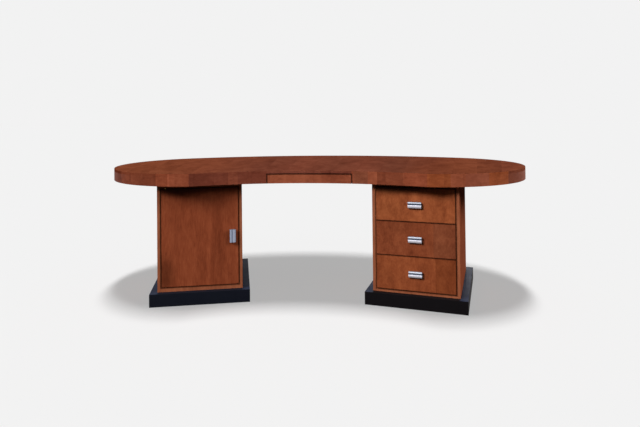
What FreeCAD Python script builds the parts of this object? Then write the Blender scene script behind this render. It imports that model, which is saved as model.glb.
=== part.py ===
import FreeCAD, Part
import math
import os

import Sketcher

# Captain's desk: a thick kidney-shaped top, hollow inside, on two splayed pedestals.
# The left pedestal is a cupboard with a pivot-hung door, the right one holds three
# drawers on side runners, and a shallow drawer slides in the hollow front of the top.
#
# Plan of the desk: X runs to the sitter's right, Y away from the sitter, Z up.
# A pedestal is drawn in its own plan, with X along its front, Y into its depth and
# the middle of its plinth's front at the origin, and is then turned by the splay.

SIZES = (
    # the whole desk
    ("desk_height", 760, "floor to the top's surface"),
    ("top_width", 2640, "left end to right end"),
    ("top_depth", 1320, "front of the lobes to the back's apex"),
    ("top_thickness", 73, "height of the edge"),
    ("end_radius", 570, "plan radius of both round ends"),
    ("bay_depth", 165, "how far the hollow front sets back behind the lobes"),
    ("bay_corner_angle", 8, "degrees from a round end's foremost point to the hollow"),
    # the hollow top
    ("top_board_thickness", 16, "upper board"),
    ("apron_thickness", 24, "bent laminated edge band"),
    ("underside_thickness", 18, "lower board"),
    ("top_edge_break", 1.5, "chamfer on the top's upper edge"),
    ("rib_thickness", 20, "battens inside the top"),
    ("rib_end_gap", 5, "from a batten's end to the edge band"),
    ("rib_spacing", 350, "between the battens' centre lines"),
    # the pencil drawer in the top
    ("pencil_front_width", 494, "its bent front"),
    ("pencil_front_thickness", 20, "its bent front"),
    ("pencil_gap", 2, "each side of its front"),
    ("pencil_top_gap", 3, "between its front and the upper board"),
    ("pencil_box_width", 460, "over its sides"),
    ("pencil_box_length", 380, "its sides, front to back"),
    ("pencil_side_thickness", 12, "its sides and back"),
    ("pencil_side_height", 38, "its sides"),
    ("pencil_bottom_thickness", 4, "its bottom"),
    ("pencil_bottom_rise", 6, "from a side's lower edge to the bottom's groove"),
    ("pencil_groove_depth", 5, "groove for the bottom"),
    ("pencil_ledge_thickness", 10, "ledge of the rail under a side"),
    ("pencil_rail_gap", 1, "between a side and its rail"),
    ("pencil_ledge_lip", 3, "how far a ledge reaches past its side"),
    ("pencil_rail_thickness", 20, "rails and the rail behind the drawer"),
    ("pencil_back_gap", 16, "behind the closed drawer"),
    ("pencil_stop_gap", 0.5, "between the closed front and the rails' ends"),
    # both pedestals
    ("left_pedestal_inset", 692, "top's left end to the middle of the left plinth"),
    ("right_pedestal_inset", 728, "top's right end to the middle of the right plinth"),
    ("splay_angle", 13.5, "degrees that each pedestal turns inwards"),
    ("plinth_setback", 68, "plinth front behind the front of the lobes"),
    ("plinth_height", 73, "plinth"),
    ("plinth_side_overhang", 42, "plinth past the cabinet at each side"),
    ("plinth_front_overhang", 34, "plinth past the cabinet at the front"),
    ("plinth_back_overhang", 50, "plinth past the cabinet at the back"),
    ("plinth_wall", 25, "plinth frame under its top"),
    ("plinth_top_thickness", 20, "plinth top"),
    ("cabinet_width", 486, "outside"),
    ("cabinet_depth", 590, "outside"),
    ("board_thickness", 19, "cabinet sides and backs, left cabinet's ceiling"),
    ("floor_thickness", 23, "left cabinet's floor"),
    ("lipping_depth", 8, "solid strips on the cabinet's front edges"),
    ("edge_break", 1, "chamfer on arrises"),
    ("front_thickness", 20, "door and drawer fronts"),
    ("front_recess", 1, "door and drawer fronts behind the lippings"),
    ("front_gap", 2, "between a door or drawer front and the cabinet"),
    ("running_clearance", 0.3, "between a drawer or door and what carries it"),
    # the cupboard
    ("pivot_inset", 24, "door pivot from the door's hinged edge"),
    ("pivot_radius", 3, "pivot pin"),
    ("pivot_length", 12, "pivot pin inside the door"),
    ("pivot_root", 10, "pivot pin inside the cabinet"),
    ("pivot_collar_radius", 6, "washer that carries the door"),
    ("bush_radius", 5, "bush around a pivot pin"),
    ("bush_length", 14, "bush around a pivot pin"),
    ("shelf_thickness", 18, "shelf"),
    ("shelf_height", 380, "underside of the shelf above the floor"),
    ("shelf_setback", 50, "shelf behind the cabinet's lippings"),
    ("shelf_gap", 1, "between the shelf and the cabinet"),
    ("shelf_pin_radius", 2.5, "shelf pin"),
    ("shelf_pin_root", 8, "shelf pin inside a cabinet side"),
    ("shelf_pin_reach", 10, "shelf pin under the shelf"),
    ("shelf_pin_inset", 60, "shelf pin from the shelf's front or back edge"),
    ("catch_length", 36, "magnetic catch"),
    ("catch_depth", 12, "magnetic catch"),
    ("catch_height", 14, "magnetic catch"),
    ("catch_inset", 40, "magnetic catch from the cabinet's side"),
    ("catch_plate_thickness", 1.2, "steel plate on the door"),
    ("catch_gap", 0.3, "between the catch and its plate"),
    ("fit_clearance", 0.05, "radial play of every pin and bush"),
    # the drawers in the right pedestal
    ("drawer_rail_height", 14, "right cabinet's floor, ceiling and front rails"),
    ("drawer_gap", 3, "between drawer fronts"),
    ("drawer_side_thickness", 14, "drawer sides and backs"),
    ("drawer_side_height", 150, "drawer sides"),
    ("drawer_side_rise", 12, "from a front's lower edge to its sides"),
    ("drawer_box_length", 500, "drawer sides behind the front"),
    ("drawer_bottom_thickness", 6, "drawer bottoms"),
    ("drawer_bottom_rise", 10, "from a side's lower edge to the bottom's groove"),
    ("drawer_groove_depth", 5, "groove for the bottom"),
    ("runner_height", 16, "wooden side runner"),
    ("runner_depth", 10, "wooden side runner"),
    ("runner_stop_gap", 0.5, "between a closed front and the runners' ends"),
    ("tail_length", 12, "dovetails into the drawer front"),
    ("tail_width", 32, "a dovetail's wide end"),
    ("tail_taper", 3, "how much a dovetail narrows at each edge"),
    ("tail_count", 3, "dovetails on each side"),
    # handles
    ("handle_length", 75, "bar handle"),
    ("handle_height", 36, "bar handle across its two ridges"),
    ("handle_projection", 17, "bar handle out of the front"),
    ("handle_foot_height", 20, "neck behind the bar"),
    ("handle_foot_depth", 8, "neck behind the bar"),
    ("handle_edge", 3, "flat edge of the bar"),
    ("handle_groove", 5, "groove between the two ridges"),
    ("handle_groove_rise", 3.5, "groove above the bar's middle"),
    ("door_handle_inset", 34, "centre of the door handle from the door's edge"),
)

DRAWER_NAMES = ("bottom", "middle", "top")
SAME_PLACE = 0.01

doc = FreeCAD.newDocument("captains_desk")
pieces = []


# ---------------------------------------------------------------- sizes and formulas

def add_sheet(name, rows):
    """A spreadsheet whose cells in column B carry the names in column A."""
    sheet = doc.addObject("Spreadsheet::Sheet", name)
    for number, (alias, content, meaning) in enumerate(rows, start=1):
        sheet.set(f"A{number}", alias)
        sheet.set(f"B{number}", str(content))
        sheet.set(f"C{number}", meaning)
        sheet.setAlias(f"B{number}", alias)
    return sheet


class Length:
    """A number together with the expression that ties it to the spreadsheet."""

    def __init__(self, value, text):
        self.value = float(value)
        self.text = text

    def __add__(self, other):
        return Length(self.value + of(other).value, f"({self.text} + {of(other).text})")

    def __sub__(self, other):
        return Length(self.value - of(other).value, f"({self.text} - {of(other).text})")

    def __mul__(self, other):
        return Length(self.value * of(other).value, f"({self.text} * {of(other).text})")

    def __truediv__(self, other):
        return Length(self.value / of(other).value, f"({self.text} / {of(other).text})")

    def __neg__(self):
        return Length(-self.value, f"(-1 * {self.text})")

    def __radd__(self, other):
        return of(other) + self

    def __rmul__(self, other):
        return of(other) * self


def of(number):
    """A plain number as a Length."""
    return number if isinstance(number, Length) else Length(number, repr(number))


def root(length):
    return Length(math.sqrt(length.value), f"sqrt({length.text})")


def sine(angle):
    return Length(math.sin(math.radians(angle.value)), f"sin({angle.text} * 1 deg)")


def cosine(angle):
    return Length(math.cos(math.radians(angle.value)), f"cos({angle.text} * 1 deg)")


sizes = add_sheet("Sizes", SIZES)
doc.recompute()
size = {name: Length(sizes.get(name), f"Sizes.{name}") for name, *_ in SIZES}
NOTHING = of(0)


# ---------------------------------------------------------------- modelling helpers

def board(corner, extent):
    """A rectangular board from its lowest corner and its three sizes."""
    box = doc.addObject("Part::Box", "Board")
    for name, length in zip(("Length", "Width", "Height"), extent):
        box.setExpression(name, length.text)
    for name, place in zip("xyz", corner):
        box.setExpression(f"Placement.Base.{name}", place.text)
    return box


def rod(base, direction, radius, length):
    """A cylinder that starts at base and runs along direction."""
    cylinder = doc.addObject("Part::Cylinder", "Rod")
    cylinder.setExpression("Radius", radius.text)
    cylinder.setExpression("Height", length.text)
    turn = FreeCAD.Rotation(FreeCAD.Vector(0, 0, 1), FreeCAD.Vector(*direction))
    cylinder.Placement = FreeCAD.Placement(FreeCAD.Vector(0, 0, 0), turn)
    for name, place in zip("xyz", base):
        cylinder.setExpression(f"Placement.Base.{name}", place.text)
    return cylinder


def fuse(members):
    joined = doc.addObject("Part::MultiFuse", "Fusion")
    joined.Shapes = members
    return joined


def group(members):
    """Separate solids of one kind that share a node."""
    together = doc.addObject("Part::Compound", "Group")
    together.Links = members
    return together


def cut(base, tools):
    """The base without the tools, which all have to bite."""
    result = doc.addObject("Part::Cut", "Cut")
    result.Base = base
    result.Tool = tools[0] if len(tools) == 1 else group(tools)
    doc.recompute()
    if result.Shape.Volume >= base.Shape.Volume:
        raise ValueError(f"{base.Label}: a cut removes nothing")
    return result


def new_body():
    return doc.addObject("PartDesign::Body", "Body")


def sketch_on(body, role, offset):
    """A sketch parallel to one of the body's own origin planes."""
    sketch = body.newObject("Sketcher::SketchObject", "Sketch")
    plane = next(item for item in body.Origin.OriginFeatures if item.Role == role)
    sketch.AttachmentSupport = [(plane, "")]
    sketch.MapMode = "FlatFace"
    sketch.setExpression("AttachmentOffset.Base.z", of(offset).text)
    return sketch


def constrain(sketch, length, *what):
    index = sketch.addConstraint(Sketcher.Constraint(*what, length.value))
    sketch.setExpression(f"Constraints[{index}]", length.text)


def add_loop(sketch, points, arcs=()):
    """A closed outline through the points.

    arcs maps the number of a side to its radius and to "left" or "right", the way
    that the outline turns along it. The other sides are straight.
    """
    arcs = dict(arcs)
    vectors = [FreeCAD.Vector(x.value, y.value, 0) for x, y in points]
    sides = []
    for number, start in enumerate(vectors):
        finish = vectors[(number + 1) % len(vectors)]
        if number in arcs:
            radius, turn = arcs[number]
            sides.append(add_arc(sketch, start, finish, radius, turn))
        else:
            geometry = sketch.addGeometry(Part.LineSegment(start, finish))
            sides.append((geometry, 1, 2))
    for number, (geometry, start_end, _) in enumerate(sides):
        before, _, finish_end = sides[number - 1]
        link = Sketcher.Constraint("Coincident", before, finish_end, geometry, start_end)
        sketch.addConstraint(link)
        x, y = points[number]
        constrain(sketch, x, "DistanceX", -1, 1, geometry, start_end)
        constrain(sketch, y, "DistanceY", -1, 1, geometry, start_end)


def add_arc(sketch, start, finish, radius, turn):
    """An arc of at most half a circle. Returns its number and its two ends."""
    sideways = FreeCAD.Vector(start.y - finish.y, finish.x - start.x, 0).normalize()
    half_chord = (finish - start).Length / 2
    rise = math.sqrt(max(radius.value ** 2 - half_chord ** 2, 0))
    to_centre = rise if turn == "left" else -rise
    centre = (start + finish) / 2 + sideways * to_centre
    first, last = (start, finish) if turn == "left" else (finish, start)
    angles = [math.atan2(end.y - centre.y, end.x - centre.x) for end in (first, last)]
    circle = Part.Circle(centre, FreeCAD.Vector(0, 0, 1), radius.value)
    geometry = sketch.addGeometry(Part.ArcOfCircle(circle, *angles))
    constrain(sketch, radius, "Radius", geometry)
    return (geometry, 1, 2) if turn == "left" else (geometry, 2, 1)


def add_rectangle(sketch, left, low, right, high):
    add_loop(sketch, ((left, low), (right, low), (right, high), (left, high)))


def add_circle(sketch, centre, radius):
    middle = FreeCAD.Vector(centre[0].value, centre[1].value, 0)
    circle = Part.Circle(middle, FreeCAD.Vector(0, 0, 1), radius.value)
    geometry = sketch.addGeometry(circle)
    constrain(sketch, radius, "Radius", geometry)
    constrain(sketch, centre[0], "DistanceX", -1, 1, geometry, 3)
    constrain(sketch, centre[1], "DistanceY", -1, 1, geometry, 3)


def pad(body, sketch, length, backwards=False):
    feature = body.newObject("PartDesign::Pad", "Pad")
    feature.Profile = sketch
    feature.setExpression("Length", of(length).text)
    feature.Reversed = backwards
    doc.recompute()
    return feature


def pocket(body, sketch, depth, backwards=False):
    """Cuts against the sketch's normal, or along it when backwards."""
    volume = body.Shape.Volume
    feature = body.newObject("PartDesign::Pocket", "Pocket")
    feature.Profile = sketch
    feature.setExpression("Length", of(depth).text)
    feature.Reversed = backwards
    doc.recompute()
    if body.Shape.Volume >= volume:
        raise ValueError(f"{body.Label}: a pocket removes nothing")
    return feature


def loft(body, below, above):
    """Straight walls from one sketch to another with the same sides."""
    feature = body.newObject("PartDesign::AdditiveLoft", "Loft")
    feature.Profile = below
    feature.Sections = [above]
    feature.Ruled = True
    doc.recompute()
    return feature


def edges_on_plane(shape, axis, place):
    """Names of the edges that lie in the plane axis = place."""
    names = []
    for number, edge in enumerate(shape.Edges, start=1):
        low = getattr(edge.BoundBox, f"{axis}Min")
        high = getattr(edge.BoundBox, f"{axis}Max")
        if abs(low - place) < SAME_PLACE and abs(high - place) < SAME_PLACE:
            names.append(f"Edge{number}")
    return names


def soften(body, length, axis, place):
    """A chamfer on every edge in the plane axis = place."""
    base = body.Tip
    feature = body.newObject("PartDesign::Chamfer", "Chamfer")
    feature.Base = (base, edges_on_plane(base.Shape, axis, place.value))
    feature.setExpression("Size", length.text)
    doc.recompute()


def keep(label, thing, frame):
    """Makes thing a sub-part of the desk, moved from its own plan into frame."""
    doc.recompute()
    thing.Label = label
    clear_place(thing)
    thing.Placement = frame.multiply(thing.Placement)
    pieces.append(thing)
    return thing


def clear_place(thing):
    """Frees a placement from its expressions, so that the frame can move it."""
    for name in "xyz":
        thing.setExpression(f"Placement.Base.{name}", None)


def mirror_image(source):
    """The source on the other side of the plane X = 0."""
    twin = doc.addObject("Part::Mirroring", "Mirrored")
    twin.Source = source
    twin.Normal = FreeCAD.Vector(1, 0, 0)
    return twin


def keep_mirrored(label, source):
    """The same sub-part on the other side of the desk's middle plane."""
    twin = mirror_image(source)
    twin.Label = label
    pieces.append(twin)


# ---------------------------------------------------------------- plan of the top

lobe_front = -size["plinth_setback"]
half_top = size["top_width"] / 2
end_x = half_top - size["end_radius"]
end_y = lobe_front + size["end_radius"]
back_apex = lobe_front + size["top_depth"]
bay_apex = lobe_front + size["bay_depth"]

# The hollow front's arc runs through its apex and ends on the round ends.
bay_half_width = end_x - size["end_radius"] * sine(size["bay_corner_angle"])
bay_rise = bay_apex - end_y + size["end_radius"] * cosine(size["bay_corner_angle"])
bay_radius = (bay_half_width * bay_half_width + bay_rise * bay_rise) / (2 * bay_rise)
bay_centre = bay_apex - bay_radius

# The back's arc runs through its apex and touches both round ends.
end_to_apex = back_apex - end_y
back_radius = (end_x * end_x + end_to_apex * end_to_apex
               - size["end_radius"] * size["end_radius"]) / (
                   2 * (end_to_apex - size["end_radius"]))
back_centre = back_apex - back_radius

underside = size["desk_height"] - size["top_thickness"]
board_underside = size["desk_height"] - size["top_board_thickness"]


def bay_y(x, inset):
    """The hollow front at x, set in by inset."""
    radius = bay_radius + inset
    return bay_centre + root(radius * radius - x * x)


def back_y(x, inset):
    """The back's arc at x, set in by inset."""
    radius = back_radius - inset
    return back_centre + root(radius * radius - x * x)


def end_y_offset(x, inset):
    """Half the chord of a round end at x, set in by inset."""
    radius = size["end_radius"] - inset
    from_centre = x - end_x
    return root(radius * radius - from_centre * from_centre)


def bay_corner(inset):
    """Where the hollow front meets the right end, both set in by inset."""
    bay = bay_radius + inset
    end = size["end_radius"] - inset
    rise = end_y - bay_centre
    span = root(end_x * end_x + rise * rise)
    along = (bay * bay - end * end + span * span) / (2 * span)
    aside = root(bay * bay - along * along)
    x = (along * end_x + aside * rise) / span
    y = bay_centre + (along * rise - aside * end_x) / span
    return x, y


def back_corner(inset):
    """Where the back's arc runs into the right end, both set in by inset."""
    span = back_radius - size["end_radius"]
    reach = back_radius - inset
    return end_x / span * reach, back_centre + (end_y - back_centre) / span * reach


def on_left(point):
    """The same point on the desk's left."""
    return -point[0], point[1]


def kidney(sketch, inset):
    """The top's outline, set in by inset."""
    front = bay_corner(inset)
    back = back_corner(inset)
    end_radius = size["end_radius"] - inset
    arcs = {
        0: (end_radius, "left"),
        1: (back_radius - inset, "left"),
        2: (end_radius, "left"),
        3: (bay_radius + inset, "right"),
    }
    add_loop(sketch, (front, back, on_left(back), on_left(front)), arcs)


# ---------------------------------------------------------------- frames

left_pedestal_x = size["left_pedestal_inset"] - half_top
right_pedestal_x = half_top - size["right_pedestal_inset"]
splay = size["splay_angle"]
plinth_width = size["cabinet_width"] + 2 * size["plinth_side_overhang"]
plinth_depth = (size["plinth_front_overhang"] + size["cabinet_depth"]
                + size["plinth_back_overhang"])
plinth_corner = -(plinth_width / 2 * sine(splay))
front_limit = min(plinth_corner.value, lobe_front.value)
middle_y = (front_limit + back_apex.value) / 2

desk_frame = FreeCAD.Placement(FreeCAD.Vector(0, -middle_y, 0), FreeCAD.Rotation())


def pedestal_frame(side):
    """Side is 1 for the right pedestal and -1 for the left one."""
    turn = FreeCAD.Rotation(FreeCAD.Vector(0, 0, 1), -side * splay.value)
    x = right_pedestal_x if side > 0 else left_pedestal_x
    place = FreeCAD.Vector(x.value, -middle_y, 0)
    return FreeCAD.Placement(place, turn)


# ---------------------------------------------------------------- plan of a pedestal

cabinet_front = size["plinth_front_overhang"]
carcass_front = cabinet_front + size["lipping_depth"]
carcass_back = cabinet_front + size["cabinet_depth"]
back_board_front = carcass_back - size["board_thickness"]
half_cabinet = size["cabinet_width"] / 2
half_inside = half_cabinet - size["board_thickness"]
floor_low = size["plinth_height"]
floor_top = floor_low + size["floor_thickness"]
ceiling = underside - size["board_thickness"]
drawer_space_low = floor_low + size["drawer_rail_height"]
drawer_space_high = underside - size["drawer_rail_height"]
front_face = cabinet_front + size["front_recess"]
front_back = front_face + size["front_thickness"]
half_front = half_inside - size["front_gap"]


# ---------------------------------------------------------------- the hollow top

def make_top():
    edge = size["top_edge_break"]
    shoulder = size["desk_height"] - edge
    body = new_body()
    sketch = sketch_on(body, "XY_Plane", board_underside)
    kidney(sketch, NOTHING)
    pad(body, sketch, shoulder - board_underside)
    below = sketch_on(body, "XY_Plane", shoulder)
    kidney(below, NOTHING)
    above = sketch_on(body, "XY_Plane", size["desk_height"])
    kidney(above, edge)
    loft(body, below, above)
    keep("top_board", body, desk_frame)
    make_underside()
    make_aprons()
    make_ribs()


def make_underside():
    """The lower board, notched for the drawer and its rails."""
    body = new_body()
    sketch = sketch_on(body, "XY_Plane", underside)
    kidney(sketch, size["apron_thickness"])
    pad(body, sketch, size["underside_thickness"])
    notch = sketch_on(body, "XY_Plane", underside + size["underside_thickness"])
    add_rectangle(notch, -rail_outside, lobe_front, rail_outside, rails_end)
    pocket(body, notch, size["underside_thickness"])
    keep("top_underside", body, desk_frame)


def make_band(label, points, arcs):
    """A bent laminated band under the upper board."""
    body = new_body()
    sketch = sketch_on(body, "XY_Plane", underside)
    add_loop(sketch, points, arcs)
    pad(body, sketch, board_underside - underside)
    return keep(label, body, desk_frame)


def make_aprons():
    band = size["apron_thickness"]
    back_outer = back_corner(NOTHING)
    back_inner = back_corner(band)
    front_outer = bay_corner(NOTHING)
    front_inner = bay_corner(band)
    make_band("back_apron",
              (back_outer, on_left(back_outer), on_left(back_inner), back_inner),
              {0: (back_radius, "left"), 2: (back_radius - band, "right")})
    end = make_band("right_end_apron",
                    (front_outer, back_outer, back_inner, front_inner),
                    {0: (size["end_radius"], "left"),
                     2: (size["end_radius"] - band, "right")})
    keep_mirrored("left_end_apron", end)
    opening = size["pencil_front_width"] / 2 + size["pencil_gap"]
    front = make_band("right_front_apron",
                      ((opening, bay_y(opening, NOTHING)), front_outer,
                       front_inner, (opening, bay_y(opening, band))),
                      {0: (bay_radius, "right"),
                       2: (bay_radius + band, "left")})
    keep_mirrored("left_front_apron", front)


def make_ribs():
    """Battens that hold the two boards of the top apart."""
    band = size["apron_thickness"]
    half = size["rib_thickness"] / 2
    gap = size["rib_end_gap"]
    inner, middle, outer = (number * size["rib_spacing"] for number in (1, 2, 3))
    spans = (
        (inner, bay_y(inner - half, band), back_y(inner + half, band)),
        (middle, end_y - end_y_offset(middle - half, band), back_y(middle + half, band)),
        (outer, end_y - end_y_offset(outer + half, band),
         end_y + end_y_offset(outer + half, band)),
    )
    low = underside + size["underside_thickness"]
    members = []
    for place, front, back in spans:
        extent = (size["rib_thickness"], back - front - 2 * gap, board_underside - low)
        members.append(board((place - half, front + gap, low), extent))
        members.append(board((-place - half, front + gap, low), extent))
    keep("top_ribs", group(members), desk_frame)


# ---------------------------------------------------------------- the pencil drawer

half_box = size["pencil_box_width"] / 2
half_box_inside = half_box - size["pencil_side_thickness"]
rail_inside = half_box + size["pencil_rail_gap"]
rail_outside = rail_inside + size["pencil_rail_thickness"]
ledge_end = half_box_inside - size["pencil_ledge_lip"]
rails_start = (bay_y(ledge_end, size["pencil_front_thickness"])
               + size["pencil_stop_gap"])
box_end = (bay_y(half_box, size["pencil_front_thickness"])
           + size["pencil_box_length"])
back_rail_front = box_end + size["pencil_back_gap"]
rails_end = back_rail_front + size["pencil_rail_thickness"]
ledge_top = underside + size["pencil_ledge_thickness"]
pencil_side_low = ledge_top + size["running_clearance"]
pencil_bottom_low = pencil_side_low + size["pencil_bottom_rise"]


def make_pencil_drawer():
    thickness = size["pencil_front_thickness"]
    half = size["pencil_front_width"] / 2
    body = new_body()
    sketch = sketch_on(body, "XY_Plane", underside)
    add_loop(sketch,
             ((-half, bay_y(half, NOTHING)), (half, bay_y(half, NOTHING)),
              (half, bay_y(half, thickness)), (-half, bay_y(half, thickness))),
             {0: (bay_radius, "right"),
              2: (bay_radius + thickness, "left")})
    pad(body, sketch, board_underside - size["pencil_top_gap"] - underside)
    keep("pencil_drawer_front", body, desk_frame)
    side = make_pencil_side()
    keep("pencil_drawer_sides", group([side, mirror_image(side)]), desk_frame)
    back_low = pencil_bottom_low + size["pencil_bottom_thickness"]
    back = board(
        (-half_box_inside, box_end - size["pencil_side_thickness"], back_low),
        (2 * half_box_inside, size["pencil_side_thickness"],
         pencil_side_low + size["pencil_side_height"] - back_low))
    keep("pencil_drawer_back", back, desk_frame)
    make_pencil_bottom()


def make_pencil_side():
    """The right side, whose front end follows the bent front."""
    behind = size["pencil_front_thickness"]
    body = new_body()
    sketch = sketch_on(body, "XY_Plane", pencil_side_low)
    add_loop(sketch,
             ((half_box_inside, bay_y(half_box_inside, behind)),
              (half_box, bay_y(half_box, behind)),
              (half_box, box_end), (half_box_inside, box_end)),
             {0: (bay_radius + behind, "right")})
    pad(body, sketch, size["pencil_side_height"])
    groove = sketch_on(body, "XZ_Plane", -bay_y(half_box, behind))
    add_rectangle(groove, half_box_inside - size["pencil_groove_depth"],
                  pencil_bottom_low,
                  half_box_inside + size["pencil_groove_depth"],
                  pencil_bottom_low + size["pencil_bottom_thickness"])
    pocket(body, groove, size["pencil_box_length"])
    return body


def make_pencil_bottom():
    """A thin panel in the sides' grooves, against the back of the bent front."""
    behind = size["pencil_front_thickness"]
    half = half_box_inside + size["pencil_groove_depth"]
    body = new_body()
    sketch = sketch_on(body, "XY_Plane", pencil_bottom_low)
    add_loop(sketch,
             ((-half, bay_y(half, behind)), (half, bay_y(half, behind)),
              (half, box_end), (-half, box_end)),
             {0: (bay_radius + behind, "right")})
    pad(body, sketch, size["pencil_bottom_thickness"])
    keep("pencil_drawer_bottom", body, desk_frame)


def make_pencil_rails():
    """L-shaped rails whose ledges carry the drawer's sides, and the rail behind it."""
    body = new_body()
    sketch = sketch_on(body, "XZ_Plane", -rails_start)
    add_loop(sketch,
             ((ledge_end, underside), (rail_outside, underside),
              (rail_outside, board_underside), (rail_inside, board_underside),
              (rail_inside, ledge_top), (ledge_end, ledge_top)))
    pad(body, sketch, rails_end - rails_start, backwards=True)
    keep("pencil_rails", group([body, mirror_image(body)]), desk_frame)
    back = board((-ledge_end, back_rail_front, underside),
                 (2 * ledge_end, size["pencil_rail_thickness"],
                  board_underside - underside))
    keep("pencil_back_rail", back, desk_frame)


# ---------------------------------------------------------------- plinth and cabinet

def make_plinth(name, frame):
    """A black base, hollow from below, wider than its cabinet all round."""
    half = plinth_width / 2
    wall = size["plinth_wall"]
    body = new_body()
    sketch = sketch_on(body, "XY_Plane", NOTHING)
    add_rectangle(sketch, -half, NOTHING, half, plinth_depth)
    pad(body, sketch, size["plinth_height"])
    soften(body, size["edge_break"], "Z", size["plinth_height"])
    hollow = sketch_on(body, "XY_Plane", NOTHING)
    add_rectangle(hollow, wall - half, wall, half - wall, plinth_depth - wall)
    pocket(body, hollow, size["plinth_height"] - size["plinth_top_thickness"],
           backwards=True)
    keep(f"{name}_plinth", body, frame)


def cabinet_inside(name):
    """The heights of a cabinet's floor and ceiling, inside."""
    if name == "left":
        return floor_top, ceiling
    return drawer_space_low, drawer_space_high


def make_cabinet(name, frame, bores):
    """Two sides with a floor, a ceiling and a back between them, lipped in front.

    bores maps the name of a board to the holes that are drilled in it.
    """
    thickness = size["board_thickness"]
    inside_low, inside_high = cabinet_inside(name)
    high = underside - floor_low
    side_depth = carcass_back - carcass_front
    inner_width = 2 * half_inside
    inner_depth = back_board_front - carcass_front
    boards = {
        "right_side": board((half_inside, carcass_front, floor_low),
                            (thickness, side_depth, high)),
        "left_side": board((-half_cabinet, carcass_front, floor_low),
                           (thickness, side_depth, high)),
        "floor": board((-half_inside, carcass_front, floor_low),
                       (inner_width, inner_depth, inside_low - floor_low)),
        "ceiling": board((-half_inside, carcass_front, inside_high),
                         (inner_width, inner_depth, underside - inside_high)),
        "back": board((-half_inside, back_board_front, floor_low),
                      (inner_width, thickness, high)),
    }
    for part, blank in boards.items():
        drilled = cut(blank, bores[part]) if part in bores else blank
        keep(f"{name}_cabinet_{part}", drilled, frame)
    make_lipping(name, frame)


def make_lipping(name, frame):
    """Four solid strips on the front edges: two stiles with two rails between."""
    thickness = size["board_thickness"]
    depth = size["lipping_depth"]
    inside_low, inside_high = cabinet_inside(name)
    stile = (thickness, depth, underside - floor_low)
    members = [
        board((-half_cabinet, cabinet_front, floor_low), stile),
        board((half_inside, cabinet_front, floor_low), stile),
        board((-half_inside, cabinet_front, floor_low),
              (2 * half_inside, depth, inside_low - floor_low)),
        board((-half_inside, cabinet_front, inside_high),
              (2 * half_inside, depth, underside - inside_high)),
    ]
    keep(f"{name}_cabinet_lipping", group(members), frame)


# ---------------------------------------------------------------- the cupboard

pivot_x = -half_front + size["pivot_inset"]
pivot_y = front_face + size["front_thickness"] / 2
door_low = floor_top + size["front_gap"]
door_high = ceiling - size["front_gap"]
shelf_front = carcass_front + size["shelf_setback"]
shelf_back = back_board_front - size["shelf_gap"]
shelf_pin_z = size["shelf_height"] - size["shelf_pin_radius"]
shelf_pin_rows = (shelf_front + size["shelf_pin_inset"],
                  shelf_back - size["shelf_pin_inset"])
catch_low = ceiling - size["catch_height"]
catch_x = half_inside - size["catch_inset"] - size["catch_length"]
door_middle = (door_low + door_high) / 2
door_handle_x = half_front - size["door_handle_inset"]


def make_cupboard(frame):
    bore = size["pivot_radius"] + size["fit_clearance"]
    depth = size["pivot_root"] + size["fit_clearance"]
    bores = {
        "floor": [rod((pivot_x, pivot_y, floor_top), (0, 0, -1), bore, depth)],
        "ceiling": [rod((pivot_x, pivot_y, ceiling), (0, 0, 1), bore, depth)],
        "right_side": shelf_pin_bores(1),
        "left_side": shelf_pin_bores(-1),
    }
    make_cabinet("left", frame, bores)
    shelf = board((-half_inside + size["shelf_gap"], shelf_front, size["shelf_height"]),
                  (2 * (half_inside - size["shelf_gap"]), shelf_back - shelf_front,
                   size["shelf_thickness"]))
    keep("cupboard_shelf", shelf, frame)
    radius = size["shelf_pin_radius"]
    root_length = size["shelf_pin_root"]
    length = root_length + size["shelf_pin_reach"]
    pins = []
    for y in shelf_pin_rows:
        right_start = (half_inside + root_length, y, shelf_pin_z)
        left_start = (-half_inside - root_length, y, shelf_pin_z)
        pins.append(rod(right_start, (-1, 0, 0), radius, length))
        pins.append(rod(left_start, (1, 0, 0), radius, length))
    keep("shelf_pins", group(pins), frame)
    make_door_pivots(frame)
    catch = board((catch_x, front_back + size["catch_plate_thickness"]
                   + size["catch_gap"], catch_low),
                  (size["catch_length"], size["catch_depth"], size["catch_height"]))
    keep("door_catch", catch, frame)


def shelf_pin_bores(side):
    """Two blind holes in the cabinet's right side, 1, or its left side, -1."""
    radius = size["shelf_pin_radius"] + size["fit_clearance"]
    depth = size["shelf_pin_root"] + size["fit_clearance"]
    return [rod((side * half_inside, y, shelf_pin_z), (side, 0, 0), radius, depth)
            for y in shelf_pin_rows]


def make_door_pivots(frame):
    """A pin with a collar in the floor and one in the ceiling."""
    collar_height = size["front_gap"] - size["running_clearance"]
    length = size["pivot_root"] + size["front_gap"] + size["pivot_length"]
    pins = []
    for base_z, face_z, way in ((floor_top - size["pivot_root"], floor_top, 1),
                                (ceiling + size["pivot_root"], ceiling, -1)):
        pin = rod((pivot_x, pivot_y, base_z), (0, 0, way), size["pivot_radius"], length)
        collar = rod((pivot_x, pivot_y, face_z), (0, 0, way),
                     size["pivot_collar_radius"], collar_height)
        pins.append(fuse([pin, collar]))
    keep("door_pivots", group(pins), frame)


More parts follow.
